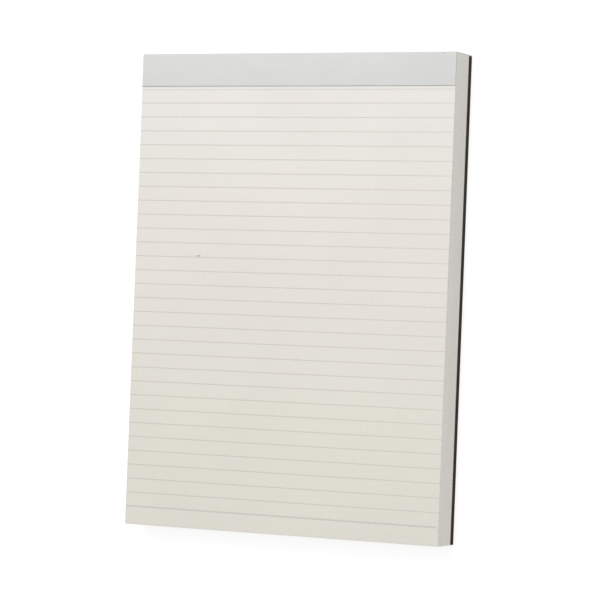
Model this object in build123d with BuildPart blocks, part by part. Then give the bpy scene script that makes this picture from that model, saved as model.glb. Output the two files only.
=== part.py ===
from build123d import *
import os

# A head-bound writing pad that lies on its back board with the ruled side up.
# The sheets and the board are stacked flush and glued along the head, and one
# tape is folded over the head, from the top sheet to the underside of the board.
# Millimetres, with the origin at the centre of the underside. +X points to the
# reader's right, +Y to the head and +Z up through the sheets.

# Stack: width across the rules, length from head to foot, and the two thicknesses
pad_width = 215.9
sheet_length = 298.45
sheets_thickness = 19.6
board_thickness = 5.0

# Binding: the glue on the head, and the tape with its two flanges
glue_thickness = 0.3
tape_thickness = 0.3
front_flange_width = 20.8
back_flange_width = 20.8

# Line of tear-off cuts across the sheets, from the outside of the head, as one fine groove
perforation_from_head = 22.8
perforation_width = 0.3
perforation_depth = 0.15

# The board is pressed in under the back flange, a little past the flange's end
seat_end_clearance = 0.2

# Levels and edges that follow from the sizes above
overall_length = sheet_length + glue_thickness + tape_thickness
foot_y = -overall_length / 2
head_y = foot_y + sheet_length
spine_inner_y = head_y + glue_thickness
spine_outer_y = spine_inner_y + tape_thickness
flange_seat_z = tape_thickness
sheets_top_z = board_thickness + sheets_thickness
front_flange_end_y = spine_outer_y - front_flange_width
back_flange_end_y = spine_outer_y - back_flange_width
seat_end_y = back_flange_end_y - seat_end_clearance
perforation_y = spine_outer_y - perforation_from_head
perforation_half_width = perforation_width / 2
fold_radius = glue_thickness
half_width = pad_width / 2

# Profiles are drawn across the head, seen from the pad's right, and run through its width
side_plane = Plane(origin=(0, 0, 0), x_dir=(0, 1, 0), z_dir=(1, 0, 0))

os.makedirs("parts", exist_ok=True)

# Back board: stiff dark board, cut flush with the sheets, and pressed in on its
# underside where the tape's back flange lies, so the pad rests on one flat face
with BuildPart() as back_board:
    with BuildSketch(side_plane):
        with BuildLine():
            Polyline(
                (foot_y, 0),
                (seat_end_y, 0),
                (seat_end_y, flange_seat_z),
                (head_y, flange_seat_z),
                (head_y, board_thickness),
                (foot_y, board_thickness),
                close=True,
            )
        make_face()
    extrude(amount=half_width, both=True)
back_board.part.label = "back_board"
export_step(back_board.part, "parts/back_board.step")

# Sheet block: all the ruled sheets, pressed and trimmed together to one flush block,
# with the groove of the tear-off cuts in its face just below the tape
with BuildPart() as sheet_block:
    with BuildSketch(side_plane):
        with BuildLine():
            Polyline(
                (foot_y, board_thickness),
                (head_y, board_thickness),
                (head_y, sheets_top_z),
                (perforation_y + perforation_half_width, sheets_top_z),
                (perforation_y, sheets_top_z - perforation_depth),
                (perforation_y - perforation_half_width, sheets_top_z),
                (foot_y, sheets_top_z),
                close=True,
            )
        make_face()
    extrude(amount=half_width, both=True)
sheet_block.part.label = "sheet_block"
export_step(sheet_block.part, "parts/sheet_block.step")

# Head glue: the film brushed on the head of the stack, with round shoulders that
# the tape follows at its two folds
with BuildPart() as head_glue:
    with BuildSketch(side_plane):
        with BuildLine():
            Line(
                (head_y, flange_seat_z),
                (head_y, sheets_top_z),
            )
            RadiusArc(
                (head_y, sheets_top_z),
                (spine_inner_y, sheets_top_z - fold_radius),
                fold_radius,
            )
            Line(
                (spine_inner_y, sheets_top_z - fold_radius),
                (spine_inner_y, flange_seat_z + fold_radius),
            )
            RadiusArc(
                (spine_inner_y, flange_seat_z + fold_radius),
                (head_y, flange_seat_z),
                fold_radius,
            )
        make_face()
    extrude(amount=half_width, both=True)
head_glue.part.label = "head_glue"
export_step(head_glue.part, "parts/head_glue.step")

# Binding tape: one strip of even thickness, folded twice round the head. Its inner
# face is one line with two arcs, and its outer face is that line set off by the thickness
with BuildPart() as binding_tape:
    with BuildSketch(side_plane):
        with BuildLine():
            FilletPolyline(
                (front_flange_end_y, sheets_top_z),
                (spine_inner_y, sheets_top_z),
                (spine_inner_y, flange_seat_z),
                (back_flange_end_y, flange_seat_z),
                radius=fold_radius,
            )
            offset(amount=tape_thickness, side=Side.LEFT)
        make_face()
    extrude(amount=half_width, both=True)
binding_tape.part.label = "binding_tape"
export_step(binding_tape.part, "parts/binding_tape.step")
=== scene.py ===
import math
import random

import bmesh
import bpy
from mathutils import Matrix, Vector, noise


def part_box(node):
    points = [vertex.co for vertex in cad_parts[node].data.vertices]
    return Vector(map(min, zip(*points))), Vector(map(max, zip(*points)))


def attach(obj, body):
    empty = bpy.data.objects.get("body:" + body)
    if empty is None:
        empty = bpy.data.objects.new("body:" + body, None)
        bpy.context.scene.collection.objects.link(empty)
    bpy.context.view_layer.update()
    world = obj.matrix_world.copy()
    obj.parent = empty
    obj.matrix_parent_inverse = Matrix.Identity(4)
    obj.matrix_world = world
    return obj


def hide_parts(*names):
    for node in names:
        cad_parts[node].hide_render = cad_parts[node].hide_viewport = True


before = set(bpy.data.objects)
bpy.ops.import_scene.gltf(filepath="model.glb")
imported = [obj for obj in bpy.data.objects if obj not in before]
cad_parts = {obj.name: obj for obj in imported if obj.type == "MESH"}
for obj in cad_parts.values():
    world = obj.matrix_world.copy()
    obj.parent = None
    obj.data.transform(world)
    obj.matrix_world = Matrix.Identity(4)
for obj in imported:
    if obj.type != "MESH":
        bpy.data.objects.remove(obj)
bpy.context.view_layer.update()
MM = 0.001

# Back board
# The stiff board that the pad lies on: waste-paper pulp pressed in layers to a thick sheet and dyed
# near black. The guillotine cuts it with the sheets, so its edges are flush with theirs and a
# little fibrous. Its underside is pressed in where the end of the tape is glued down.
BOARD_EDGE_ROUND = 0.12 * MM
BOARD_CELL = 4 * MM
BOARD_LAYER = 0.45 * MM
BOARD_EDGE_FRAY = 0.05 * MM
FRAY_SIZE = 1.7 * MM
MERGE_DISTANCE = 0.001 * MM
FLAT_WITHIN = math.radians(0.5)

BOARD_COLOUR = (0.045, 0.031, 0.025, 1)
BOARD_PALE_FIBRE = (0.110, 0.080, 0.067, 1)
BOARD_FIBRES = {"size": 0.5 * MM, "stretch": (1, 1, 3), "detail": 5, "roughness": 0.65}
BOARD_LAYERS = {"size": 0.35 * MM, "stretch": (0.08, 0.08, 1), "detail": 2}
BOARD_CLOUDS = {"size": 9 * MM, "detail": 2}
PALE_FIBRE_RANGE = (0.55, 0.85)
BOARD_FIBRE_RELIEF = 0.06 * MM
BOARD_LAYER_RELIEF = 0.04 * MM
# Here and below, tones and roughness hold a pattern's range and what its two ends stand for
BOARD_LAYER_TONES = (0.35, 0.65, 0.85, 1.12)
BOARD_CLOUD_TONES = (0.3, 0.7, 0.86, 1.10)
BOARD_ROUGHNESS = (0.3, 0.7, 0.94, 0.82)


def merged_copy(node):
    """A bmesh of a CAD node, with its loose triangles joined into whole faces."""
    bm = bmesh.new()
    bm.from_mesh(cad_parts[node].data)
    bmesh.ops.remove_doubles(bm, verts=bm.verts, dist=MERGE_DISTANCE)
    bmesh.ops.dissolve_limit(bm, angle_limit=FLAT_WITHIN, verts=bm.verts, edges=bm.edges)
    return bm


def cut_at(bm, axis, places, faces=None):
    """Cuts the faces, or the whole mesh, by planes across one axis at these places."""
    normal = Vector((axis == "x", axis == "y", axis == "z"))
    for place in places:
        chosen = [f for f in bm.faces if faces is None or faces(f)]
        # Each edge and corner once, in the order of the faces
        edges = dict.fromkeys(e for f in chosen for e in f.edges)
        corners = dict.fromkeys(v for f in chosen for v in f.verts)
        bmesh.ops.bisect_plane(
            bm, geom=[*chosen, *edges, *corners], plane_co=normal * place, plane_no=normal,
        )


def evenly(low, high, step):
    """Places between low and high, about a step apart, without the two ends."""
    count = max(1, round((high - low) / step))
    return [low + (high - low) * i / count for i in range(1, count)]


def round_edges(bm, edges, width, segments=2):
    """Rounds these edges off, or cuts them off aslant with one segment."""
    bmesh.ops.bevel(
        bm, geom=edges, offset=width, offset_type="OFFSET", segments=segments, profile=0.5,
        affect="EDGES", clamp_overlap=True, material=-1,
    )


def sharp_edges(bm, angle=30):
    """The edges whose two faces meet at more than this angle, in degrees."""
    return [e for e in bm.edges if e.is_manifold and e.calc_face_angle() > math.radians(angle)]


def add_piece(bm, name, material, slot, *nodes, smooth_angle=30):
    """Makes the finished mesh a piece of the pad, which stands for these CAD nodes."""
    bmesh.ops.recalc_face_normals(bm, faces=bm.faces)
    mesh = bpy.data.meshes.new(name)
    bm.to_mesh(mesh)
    bm.free()
    mesh.polygons.foreach_set("use_smooth", [True] * len(mesh.polygons))
    mesh.set_sharp_from_angle(angle=math.radians(smooth_angle))
    mesh.materials.append(material)
    made = bpy.data.objects.new(name, mesh)
    bpy.context.scene.collection.objects.link(made)
    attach(made, "root")
    if nodes:
        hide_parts(*nodes)


def new_material(name, specular):
    """A material, with its even sheen set on its shader's own socket."""
    material = bpy.data.materials.new(name)
    material.use_nodes = True
    shader = material.node_tree.nodes["Principled BSDF"]
    shader.inputs["Specular IOR Level"].default_value = specular
    return material


def set_or_link(material, socket, value):
    """Sets a socket to a value, or links it where an output is given."""
    if isinstance(value, bpy.types.NodeSocket):
        material.node_tree.links.new(value, socket)
    else:
        socket.default_value = value


def add_node(material, kind, inputs=(), **settings):
    """Adds a node with these inputs, each a value or an output, and these settings."""
    made = material.node_tree.nodes.new(kind)
    for name, value in settings.items():
        setattr(made, name, value)
    for name, value in dict(inputs).items():
        set_or_link(material, made.inputs[name], value)
    return made


def place_on(material, stretch=(1, 1, 1), offset=(0, 0, 0)):
    """Object coordinates, stretched and then moved."""
    coordinates = add_node(material, "ShaderNodeTexCoord")
    mapping = add_node(
        material, "ShaderNodeMapping",
        {"Vector": coordinates.outputs["Object"], "Scale": stretch, "Location": offset},
    )
    return mapping.outputs["Vector"]


def mottle(material, size, stretch=(1, 1, 1), detail=3, roughness=0.5):
    """Cloudy noise whose spots are about this size in metres."""
    made = add_node(
        material, "ShaderNodeTexNoise",
        {
            "Vector": place_on(material, stretch),
            "Scale": 1 / size,
            "Detail": detail,
            "Roughness": roughness,
        },
    )
    return made.outputs["Fac"]


def compute(material, operation, *values):
    """One step of arithmetic on values or outputs."""
    made = add_node(material, "ShaderNodeMath", enumerate(values), operation=operation)
    return made.outputs["Value"]


def spread(material, value, low, high, to_low=0.0, to_high=1.0, smooth=False):
    """Maps a value's range low to high on to another, and holds it beyond the ends."""
    made = add_node(
        material, "ShaderNodeMapRange",
        {"Value": value, "From Min": low, "From Max": high, "To Min": to_low, "To Max": to_high},
        interpolation_type="SMOOTHSTEP" if smooth else "LINEAR",
    )
    return made.outputs["Result"]


def blend_colours(material, amount, first, second, kind="MIX"):
    """Goes from the first colour to the second as amount goes from 0 to 1."""
    made = add_node(material, "ShaderNodeMix", data_type="RGBA", blend_type=kind)
    # The node has inputs of one name for each type of data: 0, 6 and 7 are those for colours
    for index, value in ((0, amount), (6, first), (7, second)):
        set_or_link(material, made.inputs[index], value)
    return made.outputs[2]


def shade(material, colour, pattern, low, high, dark, pale):
    """Multiplies a colour by dark to pale, as a pattern goes from low to high."""
    factor = spread(material, pattern, low, high, dark, pale, smooth=True)
    return blend_colours(material, 1.0, colour, factor, kind="MULTIPLY")


def relief(material, height, depth, before=None):
    """Bump of this depth in metres, on top of the bump before it."""
    inputs = {"Height": height, "Distance": depth, "Strength": 1.0}
    if before is not None:
        inputs["Normal"] = before
    return add_node(material, "ShaderNodeBump", inputs).outputs["Normal"]


def give(material, **outputs):
    """Feeds the shader's sockets. An underscore in a socket's name stands for a space."""
    shader = material.node_tree.nodes["Principled BSDF"]
    for socket, output in outputs.items():
        material.node_tree.links.new(output, shader.inputs[socket.replace("_", " ")])


def wander(point, size, seed):
    """Smooth noise from -1 to 1 that changes over this size in metres."""
    return noise.noise(Vector(point) / size + Vector((seed, seed * 1.7, seed * 0.3)))


board_paint = new_material("dyed_board", 0.12)
board_fibres = mottle(board_paint, **BOARD_FIBRES)
board_layers = mottle(board_paint, **BOARD_LAYERS)
board_clouds = mottle(board_paint, **BOARD_CLOUDS)
pale_fibres = spread(board_paint, board_fibres, *PALE_FIBRE_RANGE)
board_tone = blend_colours(board_paint, pale_fibres, BOARD_COLOUR, BOARD_PALE_FIBRE)
board_tone = shade(board_paint, board_tone, board_layers, *BOARD_LAYER_TONES)
board_tone = shade(board_paint, board_tone, board_clouds, *BOARD_CLOUD_TONES)
board_bump = relief(board_paint, board_fibres, BOARD_FIBRE_RELIEF)
give(
    board_paint, Base_Color=board_tone,
    Normal=relief(board_paint, board_layers, BOARD_LAYER_RELIEF, board_bump),
    Roughness=spread(board_paint, board_fibres, *BOARD_ROUGHNESS),
)

board_low, board_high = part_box("back_board")
board = merged_copy("back_board")
round_edges(board, sharp_edges(board), BOARD_EDGE_ROUND)
cut_at(board, "x", evenly(board_low.x, board_high.x, BOARD_CELL))
cut_at(board, "y", evenly(board_low.y, board_high.y, BOARD_CELL))
cut_at(board, "z", evenly(board_low.z + BOARD_LAYER, board_high.z, BOARD_LAYER))
for vertex in board.verts:
    x, y, z = vertex.co
    if min(x - board_low.x, board_high.x - x) < BOARD_EDGE_ROUND:
        frayed = abs(wander((y, z, 0), FRAY_SIZE, seed=3))
        vertex.co.x -= math.copysign(BOARD_EDGE_FRAY, x) * frayed
    if y - board_low.y < BOARD_EDGE_ROUND:
        vertex.co.y += BOARD_EDGE_FRAY * abs(wander((x, z, 0), FRAY_SIZE, seed=5))
add_piece(board, "board", board_paint, "board", "back_board")

# Sheets
# Two hundred ruled sheets, jogged square, pressed and trimmed together, so that they stand as one
# block. Each sheet's cut edge lies a few hundredths of a millimetre in or out of its neighbours',
# and the blade rolls the uppermost edges down a little on the three trimmed sides.
SHEET_COUNT = 200
SHEETS_IN_LIFT = 24
SHIFT_SEED = 11
SHEET_SHIFT = 0.03 * MM
LIFT_SHIFT = 0.04 * MM
EDGE_CELL = 9 * MM
EDGE_WAVE = 0.03 * MM
EDGE_WAVE_SIZE = 30 * MM
EDGE_WAVE_PER_SHEET = 3 * MM
SHEET_PARTING = 0.12
ROLL_DROP = 0.14 * MM
ROLL_REACH = 0.45 * MM
ROLL_DEPTH = 1.6 * MM
ROLL_PLACES = [0.12 * MM, 0.35 * MM, 0.8 * MM, 1.6 * MM]
NEAR = 0.01 * MM

EDGE_PALE = (0.896, 0.876, 0.826, 1)
EDGE_GREY = (0.829, 0.809, 0.762, 1)
FINE_LAYERS = {"size": 1 * MM, "stretch": (0.05, 0.05, 9), "detail": 3, "roughness": 0.7}
BROAD_LAYERS = {"size": 1 * MM, "stretch": (0.01, 0.01, 0.7), "detail": 2}
FINE_SHARE, BROAD_SHARE = 0.55, 0.45
EDGE_TONE_RANGE = (0.35, 0.65)
EDGE_FOOT_TONE, EDGE_HEAD_TONE = 1.03, 0.97
EDGE_RELIEF = 0.03 * MM
EDGE_ROUGHNESS = (0.3, 0.7, 0.95, 0.86)

stack_low, stack_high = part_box("sheet_block")
stack_size = stack_high - stack_low
stack_middle = (stack_low + stack_high) / 2
sheet_thick = stack_size.z / SHEET_COUNT


def rolled(x, y, z):
    """How far the guillotine has rolled the paper down at this place, in metres."""
    into = min(x - stack_low.x, stack_high.x - x, y - stack_low.y)
    below = stack_high.z - z
    if into > ROLL_PLACES[-1] or below > ROLL_DEPTH:
        return 0.0
    return ROLL_DROP * math.exp(-max(into, 0) / ROLL_REACH) * (1 - below / ROLL_DEPTH)


def across_sheet(low, high, cell):
    """Places to cut a sheet, close together near its trimmed edges and even in between."""
    return [
        *[low + p for p in ROLL_PLACES], *[high - p for p in ROLL_PLACES],
        *evenly(low + ROLL_PLACES[-1], high - ROLL_PLACES[-1], cell),
    ]


def distance_along(material, axis):
    """How far a place lies along the pad's X, Y or Z, in metres."""
    apart = add_node(material, "ShaderNodeSeparateXYZ", {"Vector": place_on(material)})
    return apart.outputs[axis]


edge_paper = new_material("cut_paper_edges", 0.15)
fine_layers = mottle(edge_paper, **FINE_LAYERS)
broad_layers = mottle(edge_paper, **BROAD_LAYERS)
both_layers = compute(
    edge_paper, "ADD",
    compute(edge_paper, "MULTIPLY", fine_layers, FINE_SHARE),
    compute(edge_paper, "MULTIPLY", broad_layers, BROAD_SHARE),
)
pale_layers = spread(edge_paper, both_layers, *EDGE_TONE_RANGE)
edge_tone = blend_colours(edge_paper, pale_layers, EDGE_GREY, EDGE_PALE)
edge_tone = shade(
    edge_paper, edge_tone, distance_along(edge_paper, "Y"),
    stack_low.y, stack_high.y, EDGE_FOOT_TONE, EDGE_HEAD_TONE,
)
give(
    edge_paper, Base_Color=edge_tone, Normal=relief(edge_paper, fine_layers, EDGE_RELIEF),
    Roughness=spread(edge_paper, fine_layers, *EDGE_ROUGHNESS),
)

# The block has two rings of points for each sheet but the top one, and is first made one unit
# high from each ring to the next, so that a point's height gives its ring
ring_count = 2 * (SHEET_COUNT - 1)
stack = bmesh.new()
bmesh.ops.create_cube(stack, size=1)
bmesh.ops.scale(stack, verts=stack.verts, vec=(stack_size.x, stack_size.y, ring_count - 1))
bmesh.ops.translate(
    stack, verts=stack.verts, vec=(stack_middle.x, stack_middle.y, (ring_count - 1) / 2),
)
cut_at(stack, "x", sorted(across_sheet(stack_low.x, stack_high.x, EDGE_CELL)))
cut_at(stack, "y", sorted(across_sheet(stack_low.y, stack_high.y, EDGE_CELL)))
upright = [e for e in stack.edges if abs(e.verts[0].co.z - e.verts[1].co.z) > 1]
bmesh.ops.subdivide_edges(stack, edges=upright, cuts=ring_count - 2)

draw = random.Random(SHIFT_SEED)
sheet_shift = []
for sheet in range(SHEET_COUNT - 1):
    if sheet % SHEETS_IN_LIFT == 0:
        lift_shift = [draw.uniform(-LIFT_SHIFT, LIFT_SHIFT) for side in range(3)]
    sheet_shift.append([draw.uniform(-SHEET_SHIFT, SHEET_SHIFT) + lift for lift in lift_shift])
for vertex in stack.verts:
    ring = round(vertex.co.z)
    sheet, upper = divmod(ring, 2)
    x, y = vertex.co.x, vertex.co.y
    parting = 0 if ring in (0, ring_count - 1) else SHEET_PARTING * (0.5 - upper)
    z = stack_low.z + sheet_thick * (sheet + upper + parting)
    left, right, foot = sheet_shift[sheet]
    wave = EDGE_WAVE * wander((x, y, sheet * EDGE_WAVE_PER_SHEET), EDGE_WAVE_SIZE, seed=7)
    if x < stack_low.x + NEAR:
        vertex.co.x += left + wave
    if x > stack_high.x - NEAR:
        vertex.co.x += right + wave
    if y < stack_low.y + NEAR:
        vertex.co.y += foot + wave
    vertex.co.z = z - rolled(x, y, z)
add_piece(stack, "sheets", edge_paper, "sheets", "sheet_block", smooth_angle=20)

# Top sheet
# The sheet that is written on, of ivory uncoated paper. A line of small cuts crosses it just
# below the tape, where a used sheet tears off, and the cutting wheel has left a low ridge there.
# It has a dark speck on its left part. Painted shadow darkens a narrow band beside the tape's edge,
# and painted shade a thin line along the cuts.
PERFORATION_FROM_HEAD = 22.8 * MM
PERFORATION_CUT = 1.0 * MM
PERFORATION_TIE = 0.45 * MM
PERFORATION_WIDTH = 0.22 * MM
PERFORATION_DEPTH = 0.08 * MM
RIDGE_HEIGHT = 0.07 * MM
RIDGE_REACH = 1.6 * MM
RIDGE_CUTS = (-1, -0.6, -0.3, 0.3, 0.6, 1)
SHEET_CELL = 9 * MM
SHEET_WAVE = 0.06 * MM
SHEET_WAVE_SIZE = 70 * MM
SHEET_FLAT_RIM = 40 * MM

PAPER_HEAD = (0.830, 0.795, 0.758, 1)
PAPER_FOOT = (0.819, 0.793, 0.718, 1)
IVORY_END = 70 * MM
FORMATION = {"size": 2.5 * MM, "detail": 4, "roughness": 0.6}
PAPER_CLOUDS = {"size": 45 * MM, "detail": 2}
PAPER_FIBRES = {"size": 0.35 * MM, "detail": 3, "roughness": 0.7}
FORMATION_TONES = (0.3, 0.7, 0.987, 1.010)
PAPER_CLOUD_TONES = (0.2, 0.8, 0.985, 1.012)
PAINTED_CUT_SHADE = (0.1 * MM, 0.45 * MM, 0.86, 1.0)
TAPE_SHADOW_WIDTH = 0.7 * MM
TAPE_SHADOW_TONE = 0.80
PAPER_RELIEF = 0.012 * MM
PAPER_ROUGHNESS = (0.3, 0.7, 0.88, 0.78)

# Each part of the speck: where its middle is, how far it reaches, and how dark it is
SPECK_PARTS = [
    ((-62.1 * MM, 22.0 * MM), (0.95 * MM, 0.65 * MM, 5 * MM), 0.95),
    ((-63.5 * MM, 21.85 * MM), (1.7 * MM, 0.6 * MM, 5 * MM), 0.6),
]
SPECK_COLOUR = (0.20, 0.185, 0.16, 1)
SPECK_RAGGED = 0.3
RAGGED_EDGE = {"size": 0.4 * MM, "detail": 3, "roughness": 0.7}
RAGGED_RANGE = (0.2, 0.8)

tape_low, tape_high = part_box("binding_tape")
perforation_y = tape_high.y - PERFORATION_FROM_HEAD


def sheet_rise(x, y):
    """How far the top sheet's face lies above its flat place, in metres."""
    from_ridge = abs(y - perforation_y) / RIDGE_REACH
    ridge = RIDGE_HEIGHT * max(0.0, 1 - from_ridge) ** 2
    into = min(x - stack_low.x, stack_high.x - x, y - stack_low.y, perforation_y - y)
    loose = min(1.0, max(0.0, into / SHEET_FLAT_RIM))
    wave = SHEET_WAVE * loose * wander((x, y, 0), SHEET_WAVE_SIZE, seed=2)
    return ridge + wave - rolled(x, y, stack_high.z)


def spot(material, centre, reach, ragged):
    """1 at this place on the pad, falling to 0 at this reach along x, y and z, raggedly."""
    stretch = [1 / r for r in reach]
    away = add_node(
        material, "ShaderNodeVectorMath",
        {0: place_on(material, stretch, [-c * s for c, s in zip(centre, stretch)])},
        operation="LENGTH",
    ).outputs["Value"]
    edge = spread(material, mottle(material, **RAGGED_EDGE), *RAGGED_RANGE, -ragged, ragged)
    away = compute(material, "ADD", away, edge)
    return spread(material, away, 0.0, 1.0, 1.0, 0.0, smooth=True)


paper = new_material("ivory_paper", 0.2)
paper_y = distance_along(paper, "Y")
formation = mottle(paper, **FORMATION)
paper_clouds = mottle(paper, **PAPER_CLOUDS)
paper_fibres = mottle(paper, **PAPER_FIBRES)
to_foot = spread(paper, paper_y, perforation_y, stack_low.y + IVORY_END)
paper_tone = blend_colours(paper, to_foot, PAPER_HEAD, PAPER_FOOT)
paper_tone = shade(paper, paper_tone, formation, *FORMATION_TONES)
paper_tone = shade(paper, paper_tone, paper_clouds, *PAPER_CLOUD_TONES)
# Painted shade: the paper is darker in a thin line along the row of cuts
from_cuts = compute(paper, "ABSOLUTE", compute(paper, "SUBTRACT", paper_y, perforation_y))
paper_tone = shade(paper, paper_tone, from_cuts, *PAINTED_CUT_SHADE)
# Painted shadow of the tape's lower edge: a narrow band of the paper beside it is darker
paper_tone = shade(
    paper, paper_tone, paper_y, tape_low.y - TAPE_SHADOW_WIDTH, tape_low.y, 1.0, TAPE_SHADOW_TONE,
)
for centre, reach, darkness in SPECK_PARTS:
    inside = spot(paper, (*centre, stack_high.z), reach, SPECK_RAGGED)
    amount = compute(paper, "MULTIPLY", inside, darkness)
    paper_tone = blend_colours(paper, amount, paper_tone, SPECK_COLOUR)
give(
    paper, Base_Color=paper_tone, Normal=relief(paper, paper_fibres, PAPER_RELIEF),
    Roughness=spread(paper, formation, *PAPER_ROUGHNESS),
)

top_sheet = bmesh.new()
bmesh.ops.create_cube(top_sheet, size=1)
bmesh.ops.scale(top_sheet, verts=top_sheet.verts, vec=(stack_size.x, stack_size.y, sheet_thick))
bmesh.ops.translate(
    top_sheet, verts=top_sheet.verts,
    vec=(stack_middle.x, stack_middle.y, stack_high.z - sheet_thick / 2),
)
slot_sides = [perforation_y - PERFORATION_WIDTH / 2, perforation_y + PERFORATION_WIDTH / 2]
ridge_places = [perforation_y + RIDGE_REACH * k for k in RIDGE_CUTS]
cut_at(top_sheet, "x", across_sheet(stack_low.x, stack_high.x, SHEET_CELL))
cut_at(
    top_sheet, "y",
    [stack_low.y + p for p in ROLL_PLACES] + ridge_places + slot_sides
    + evenly(stack_low.y + ROLL_PLACES[-1], ridge_places[0], SHEET_CELL),
)


def in_slot_row(face):
    """Is this one of the upper faces between the two sides of the row of cuts?"""
    return slot_sides[0] < face.calc_center_median().y < slot_sides[1] and face.normal.z > 0.5


def in_slot(face):
    """Is this one of the faces that the wheel has cut?"""
    x = face.calc_center_median().x
    return any(start < x < start + PERFORATION_CUT for start in slot_starts)


top_sheet.normal_update()
slot_pitch = PERFORATION_CUT + PERFORATION_TIE
slot_count = int(stack_size.x / slot_pitch)
slot_starts = [(k - slot_count / 2) * slot_pitch + PERFORATION_TIE / 2 for k in range(slot_count)]
cut_at(top_sheet, "x", slot_starts, faces=in_slot_row)
cut_at(top_sheet, "x", [start + PERFORATION_CUT for start in slot_starts], faces=in_slot_row)
for vertex in top_sheet.verts:
    vertex.co.z += sheet_rise(vertex.co.x, vertex.co.y)
slots = [f for f in top_sheet.faces if in_slot_row(f) and in_slot(f)]
sunk = bmesh.ops.extrude_face_region(top_sheet, geom=slots)["geom"]
bmesh.ops.delete(top_sheet, geom=slots, context="FACES_ONLY")
bmesh.ops.translate(
    top_sheet, verts=[v for v in sunk if isinstance(v, bmesh.types.BMVert)],
    vec=(0, 0, -PERFORATION_DEPTH),
)
add_piece(top_sheet, "top_sheet", paper, "sheets", "sheet_block", smooth_angle=25)

# Ruling
# The printed rules: thin grey lines that run off both sides of the sheet and are a little fainter
# towards the right. The last one is heavier and stops short of the right side. They are ink in the
# paper, a hundredth of a millimetre proud of it.
RULE_COUNT = 30
RULE_FIRST_FROM_HEAD = 31.25 * MM
RULE_PITCH = 8.837 * MM
RULE_WIDTH = 0.60 * MM
LAST_RULE_WIDTH = 0.98 * MM
LAST_RULE_GAP = 1.1 * MM
RULE_MARGIN = 0.05 * MM
INK_PROUD = 0.012 * MM

INK_COLOUR = (0.655, 0.627, 0.575, 1)
INK_THIN_COLOUR = (0.725, 0.697, 0.643, 1)
INK_BREAKS = {"size": 0.9 * MM, "detail": 4, "roughness": 0.7}
INK_BREAK_RANGE = (0.4, 0.75)
INK_FADE = 0.55
INK_ROUGHNESS = (0.3, 0.7, 0.74, 0.84)

first_rule_y = tape_high.y - RULE_FIRST_FROM_HEAD
last_rule_y = first_rule_y - RULE_PITCH * (RULE_COUNT - 1)

ink = new_material("grey_ink", 0.2)
ink_breaks = mottle(ink, **INK_BREAKS)
ink_fading = compute(
    ink, "MULTIPLY",
    spread(ink, distance_along(ink, "X"), stack_middle.x, stack_high.x, 0.0, INK_FADE),
    spread(ink, distance_along(ink, "Y"), last_rule_y, last_rule_y + RULE_PITCH),
)
ink_thinned = compute(ink, "ADD", spread(ink, ink_breaks, *INK_BREAK_RANGE), ink_fading)
give(
    ink, Base_Color=blend_colours(ink, ink_thinned, INK_COLOUR, INK_THIN_COLOUR),
    Roughness=spread(ink, ink_breaks, *INK_ROUGHNESS),
)

ruling = bmesh.new()
for rule in range(RULE_COUNT):
    last = rule == RULE_COUNT - 1
    width, gap = (LAST_RULE_WIDTH, LAST_RULE_GAP) if last else (RULE_WIDTH, 0)
    length = stack_size.x - 2 * RULE_MARGIN - gap
    rule_middle = (stack_middle.x - gap / 2, first_rule_y - RULE_PITCH * rule, stack_high.z)
    made = bmesh.ops.create_cube(ruling, size=1)["verts"]
    bmesh.ops.scale(ruling, verts=made, vec=(length, width, 2 * INK_PROUD))
    bmesh.ops.translate(ruling, verts=made, vec=rule_middle)
cut_at(ruling, "x", across_sheet(stack_low.x, stack_high.x, SHEET_CELL))
for vertex in ruling.verts:
    vertex.co.z += sheet_rise(vertex.co.x, vertex.co.y)
add_piece(ruling, "ruling", ink, "sheets")

# Head glue
# The padding compound that holds the sheets and the board together: a white glue brushed on the
# pressed head in two coats, which dries to a thin rubbery film. The tape hides all but its ends.
GLUE_COLOUR = (0.66, 0.65, 0.60, 1)
GLUE_DARK_COLOUR = (0.52, 0.51, 0.47, 1)
GLUE_LUMPS = {"size": 1.2 * MM, "detail": 3}
GLUE_RELIEF = 0.05 * MM
GLUE_ROUGHNESS = (0.3, 0.7, 0.6, 0.45)

glue_film = new_material("dried_glue", 0.4)
glue_lumps = mottle(glue_film, **GLUE_LUMPS)
give(
    glue_film, Normal=relief(glue_film, glue_lumps, GLUE_RELIEF),
    Base_Color=blend_colours(glue_film, glue_lumps, GLUE_DARK_COLOUR, GLUE_COLOUR),
    Roughness=spread(glue_film, glue_lumps, *GLUE_ROUGHNESS),
)
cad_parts["head_glue"].data.materials.clear()
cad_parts["head_glue"].data.materials.append(glue_film)

# Binding tape
# One strip of grey binding paper, gummed on its back, laid on the top sheet, folded over the head
# and drawn down on to the underside of the board. Its two long edges are slit aslant, and painted
# shade darkens a narrow band along them and, more gently, the whole tape towards them. The tape is
# a little darker towards its right end, and its upper fold has two small knocks with painted shade.
TAPE_CELL = 3 * MM
FOLD_STEPS = 6
SLIT_SLANT = 0.22 * MM
BACK_SLIT_SLANT = 0.1 * MM
FROM_FOLD = [1.0 * MM, 1.6 * MM, 2.4 * MM, 3.4 * MM, 5.0 * MM]

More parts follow.
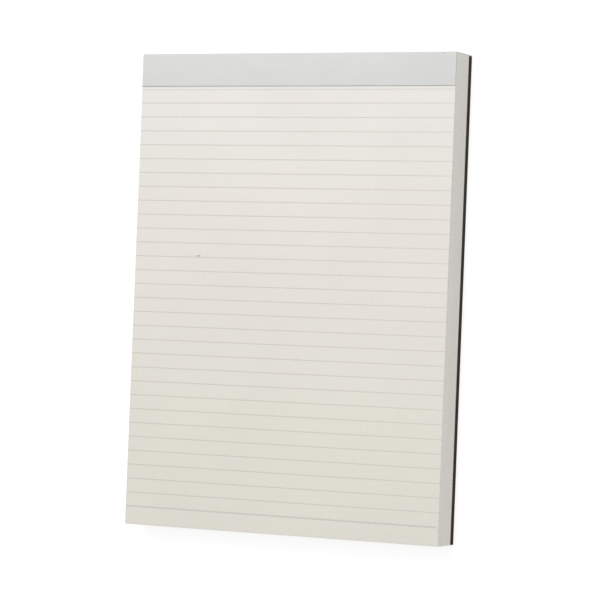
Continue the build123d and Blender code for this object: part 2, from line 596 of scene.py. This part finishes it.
TAPE_COLOUR = (0.710, 0.715, 0.695, 1)
TAPE_SHADED_LOW_COLOUR = (0.680, 0.681, 0.664, 1)
TAPE_FIBRES = {"size": 0.5 * MM, "stretch": (0.35, 1, 1), "detail": 4, "roughness": 0.65}
TAPE_CLOUDS = {"size": 14 * MM, "detail": 3}
TAPE_FIBRE_TONES = (0.3, 0.7, 0.985, 1.012)
TAPE_CLOUD_TONES = (0.3, 0.7, 0.99, 1.01)
TAPE_RELIEF = 0.015 * MM
TAPE_ROUGHNESS = (0.3, 0.7, 0.76, 0.66)
TAPE_EDGE_SHADE_COLOUR = (0.452, 0.446, 0.410, 1)
TAPE_EDGE_SHADE_FROM = 0.1 * MM
TAPE_EDGE_SHADE_WIDTH = 0.7 * MM
TAPE_EDGE_SHADE_WANDER = 0.12 * MM
TAPE_EDGE_SHADE_RANGE = (0.3, 0.7)
DARKER_RIGHT_FROM = 50 * MM
DARKER_RIGHT_TONE = 0.965

# Each knock: where it is, how far it reaches along the fold, how deep it is, and how dark the
# painted shade in it is
KNOCKS = [(-27.4 * MM, 5.2 * MM, 0.26 * MM, 0.12), (99.2 * MM, 1.5 * MM, 0.28 * MM, 0.3)]
KNOCK_REACH = 2.0 * MM
KNOCK_CUTS = 5
KNOCK_STEEPNESS = 1.5
KNOCK_SHADE_LENGTH = 0.9
KNOCK_SHADE_REACH = 1.1 * MM
KNOCK_SHADE_FROM_FOLD = 0.6 * MM
KNOCK_SHADE_RAGGED = 0.15

tape_paper = new_material("grey_tape", 0.3)
tape_y = distance_along(tape_paper, "Y")
tape_fibres = mottle(tape_paper, **TAPE_FIBRES)
tape_clouds = mottle(tape_paper, **TAPE_CLOUDS)
# Painted shade: the tape is darker towards its slit edges and lighter towards the fold at the head
painted_light_to_head = spread(tape_paper, tape_y, tape_low.y, tape_high.y)
tape_tone = blend_colours(tape_paper, painted_light_to_head, TAPE_SHADED_LOW_COLOUR, TAPE_COLOUR)
tape_tone = shade(tape_paper, tape_tone, tape_fibres, *TAPE_FIBRE_TONES)
tape_tone = shade(tape_paper, tape_tone, tape_clouds, *TAPE_CLOUD_TONES)
# The tape is a little darker towards its right end
tape_tone = shade(
    tape_paper, tape_tone, distance_along(tape_paper, "X"),
    DARKER_RIGHT_FROM, tape_high.x, 1.0, DARKER_RIGHT_TONE,
)
# Painted shade: a narrow dark band along the tape's slit edges, with a wandering border
edge_shade_wander = spread(tape_paper, tape_clouds, *TAPE_EDGE_SHADE_RANGE, -TAPE_EDGE_SHADE_WANDER, TAPE_EDGE_SHADE_WANDER)
edge_shade_y = compute(tape_paper, "ADD", tape_y, edge_shade_wander)
edge_unshaded = spread(
    tape_paper, edge_shade_y, tape_low.y + TAPE_EDGE_SHADE_FROM, tape_low.y + TAPE_EDGE_SHADE_WIDTH, smooth=True,
)
tape_tone = blend_colours(tape_paper, edge_unshaded, TAPE_EDGE_SHADE_COLOUR, tape_tone)
# Painted shade darkens the tape in each knock
for knock_x, knock_length, depth, darkness in KNOCKS:
    knock_shade = spot(
        tape_paper, (knock_x, tape_high.y - KNOCK_SHADE_FROM_FOLD, tape_high.z),
        (KNOCK_SHADE_LENGTH * knock_length, KNOCK_SHADE_REACH, KNOCK_SHADE_REACH), KNOCK_SHADE_RAGGED,
    )
    tape_tone = shade(tape_paper, tape_tone, knock_shade, 0.0, 1.0, 1.0, 1 - darkness)
give(
    tape_paper, Base_Color=tape_tone, Normal=relief(tape_paper, tape_fibres, TAPE_RELIEF),
    Roughness=spread(tape_paper, tape_fibres, *TAPE_ROUGHNESS),
)

tape_thick = tape_high.z - stack_high.z
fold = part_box("head_glue")[1].y - stack_high.y
upper_fold = (0, stack_high.y, stack_high.z - fold)
lower_fold = (0, stack_high.y, tape_low.z + tape_thick + fold)
tape = bmesh.new()


def draw_out(edges, way):
    """Extrudes the tape's free end by this much and gives the new free end."""
    made = bmesh.ops.extrude_edge_only(tape, edges=edges)["geom"]
    moved = [v for v in made if isinstance(v, bmesh.types.BMVert)]
    bmesh.ops.translate(tape, verts=moved, vec=way)
    return [
        e for e in made
        if isinstance(e, bmesh.types.BMEdge) and e.verts[0] in moved and e.verts[1] in moved
    ]


def fold_round(edges, centre):
    """Folds the tape's free end down by a right angle about a line along the head."""
    corners = dict.fromkeys(v for e in edges for v in e.verts)
    made = bmesh.ops.spin(
        tape, geom=[*edges, *corners], cent=centre, axis=(1, 0, 0),
        angle=math.radians(-90), steps=FOLD_STEPS,
    )["geom_last"]
    return [e for e in made if isinstance(e, bmesh.types.BMEdge)]


def slit_edge(level):
    """The long edges of the tape that lie at its front or back end, at this height."""
    return [
        e for e in tape.edges
        if all(abs(v.co.y - tape_low.y) < NEAR and abs(v.co.z - level) < NEAR for v in e.verts)
    ]


front_corners = [tape.verts.new((x, tape_low.y, stack_high.z)) for x in (tape_low.x, tape_high.x)]
free_end = [tape.edges.new(front_corners)]
free_end = draw_out(free_end, (0, stack_high.y - tape_low.y, 0))
free_end = fold_round(free_end, upper_fold)
free_end = draw_out(free_end, (0, 0, lower_fold[2] - upper_fold[2]))
free_end = fold_round(free_end, lower_fold)
draw_out(free_end, (0, tape_low.y - stack_high.y, 0))
bmesh.ops.remove_doubles(tape, verts=tape.verts, dist=MERGE_DISTANCE)
bmesh.ops.recalc_face_normals(tape, faces=tape.faces)
bmesh.ops.solidify(tape, geom=tape.faces, thickness=-tape_thick)
bmesh.ops.recalc_face_normals(tape, faces=tape.faces)
for slant, level in ((SLIT_SLANT, tape_high.z), (BACK_SLIT_SLANT, tape_low.z)):
    round_edges(tape, slit_edge(level), slant, segments=1)
cut_at(tape, "y", [tape_high.y - p for p in FROM_FOLD])
cut_at(tape, "z", [tape_high.z - p for p in FROM_FOLD])
cut_at(tape, "x", evenly(tape_low.x, tape_high.x, TAPE_CELL))
for knock_x, knock_length, depth, darkness in KNOCKS:
    knock_ends = (knock_x - knock_length, knock_x + knock_length)
    cut_at(tape, "x", evenly(*knock_ends, knock_length / KNOCK_CUTS))
for vertex in tape.verts:
    x, y, z = vertex.co
    for knock_x, knock_length, depth, darkness in KNOCKS:
        from_fold = math.hypot(y - tape_high.y, z - tape_high.z) / KNOCK_REACH
        near = max(0.0, 1 - math.hypot((x - knock_x) / knock_length, from_fold))
        vertex.co.y -= depth * near ** KNOCK_STEEPNESS
        vertex.co.z -= depth * near ** KNOCK_STEEPNESS
add_piece(tape, "tape", tape_paper, "tape", "binding_tape", smooth_angle=40)

# Floor
# The pale table that the pad lies on. The camera and reflections see it as white paper with the
# pad's soft shadow on it. The light that it throws back is that of a plain pale surface.
FLOOR_SIZE = 6.0
FLOOR_GAP = 0.05 * MM
FLOOR_COLOUR = (0.90, 0.90, 0.89, 1)
FLOOR_SHADOW = (0.33, 0.33, 0.33, 1)
FLOOR_GLOW = 0.80


def seen_directly(holder):
    """1 where a ray comes from the camera, a reflection or through glass, and 0 elsewhere."""
    path = add_node(holder, "ShaderNodeLightPath").outputs
    reflected = compute(holder, "MAXIMUM", path["Is Glossy Ray"], path["Is Transmission Ray"])
    return compute(holder, "MAXIMUM", path["Is Camera Ray"], reflected)


floor_paint = bpy.data.materials.new("pale_floor")
floor_paint.use_nodes = True
floor_paint.node_tree.nodes.clear()
plain = add_node(floor_paint, "ShaderNodeBsdfDiffuse", {"Color": FLOOR_COLOUR})
shaded = add_node(floor_paint, "ShaderNodeBsdfDiffuse", {"Color": FLOOR_SHADOW})
glow = add_node(floor_paint, "ShaderNodeEmission", {"Strength": FLOOR_GLOW})
white = add_node(
    floor_paint, "ShaderNodeAddShader", {0: shaded.outputs["BSDF"], 1: glow.outputs["Emission"]},
)
mixed = add_node(
    floor_paint, "ShaderNodeMixShader",
    {0: seen_directly(floor_paint), 1: plain.outputs["BSDF"], 2: white.outputs["Shader"]},
)
add_node(floor_paint, "ShaderNodeOutputMaterial", {"Surface": mixed.outputs["Shader"]})

floor_mesh = bmesh.new()
bmesh.ops.create_grid(floor_mesh, x_segments=1, y_segments=1, size=FLOOR_SIZE / 2)
floor_data = bpy.data.meshes.new("floor")
floor_mesh.to_mesh(floor_data)
floor_mesh.free()
floor_data.materials.append(floor_paint)
floor = bpy.data.objects.new("floor", floor_data)
floor.location.z = board_low.z - FLOOR_GAP
bpy.context.scene.collection.objects.link(floor)

# Light
# Even studio light: a pale room all round, and one large soft lamp above and beyond the head of
# the pad, so that the foot is a little darker than the head and the side darker than the face.
WHITE = (1, 1, 1, 1)
ROOM_STRENGTH = 0.567
BACKDROP_STRENGTH = 1.0
LAMP_PLACE = Vector((0.0, 0.50, 0.95))
LAMP_AIM = Vector((0, 0.02, 0))
LAMP_SIZE = 0.6
LAMP_POWER = 5.2

world = bpy.data.worlds.new("room")
world.use_nodes = True
world.node_tree.nodes.clear()
bpy.context.scene.world = world
room = add_node(world, "ShaderNodeBackground", {"Color": WHITE, "Strength": ROOM_STRENGTH})
backdrop = add_node(world, "ShaderNodeBackground", {"Color": WHITE, "Strength": BACKDROP_STRENGTH})
sky = add_node(
    world, "ShaderNodeMixShader",
    {0: seen_directly(world), 1: room.outputs["Background"], 2: backdrop.outputs["Background"]},
)
add_node(world, "ShaderNodeOutputWorld", {"Surface": sky.outputs["Shader"]})

lamp_data = bpy.data.lights.new("softbox", "AREA")
lamp_data.shape = "SQUARE"
lamp_data.size = LAMP_SIZE
lamp_data.energy = LAMP_POWER
lamp = bpy.data.objects.new("softbox", lamp_data)
lamp.location = LAMP_PLACE
lamp.rotation_mode = "QUATERNION"
lamp.rotation_quaternion = (LAMP_AIM - LAMP_PLACE).to_track_quat("-Z", "Y")
lamp.visible_camera = False
bpy.context.scene.collection.objects.link(lamp)

# Camera
# It looks down on the pad from its right through a long lens, at the angle from which the
# photograph shows it.
CAMERA_PLACE = Vector((773.23, -24.02, 1597.27)) * MM
CAMERA_TURN = [math.radians(a) for a in (1.7597, 25.8556, 2.5053)]
CAMERA_LENS = 169.71
CAMERA_SENSOR = 36.0
CAMERA_REACH = 20

camera_data = bpy.data.cameras.new("camera")
camera_data.sensor_width = CAMERA_SENSOR
camera_data.lens = CAMERA_LENS
camera_data.clip_end = CAMERA_REACH
camera = bpy.data.objects.new("camera", camera_data)
camera.location = CAMERA_PLACE
camera.rotation_euler = CAMERA_TURN
bpy.context.scene.collection.objects.link(camera)
bpy.context.scene.camera = camera
bpy.context.scene.view_settings.view_transform = "Standard"
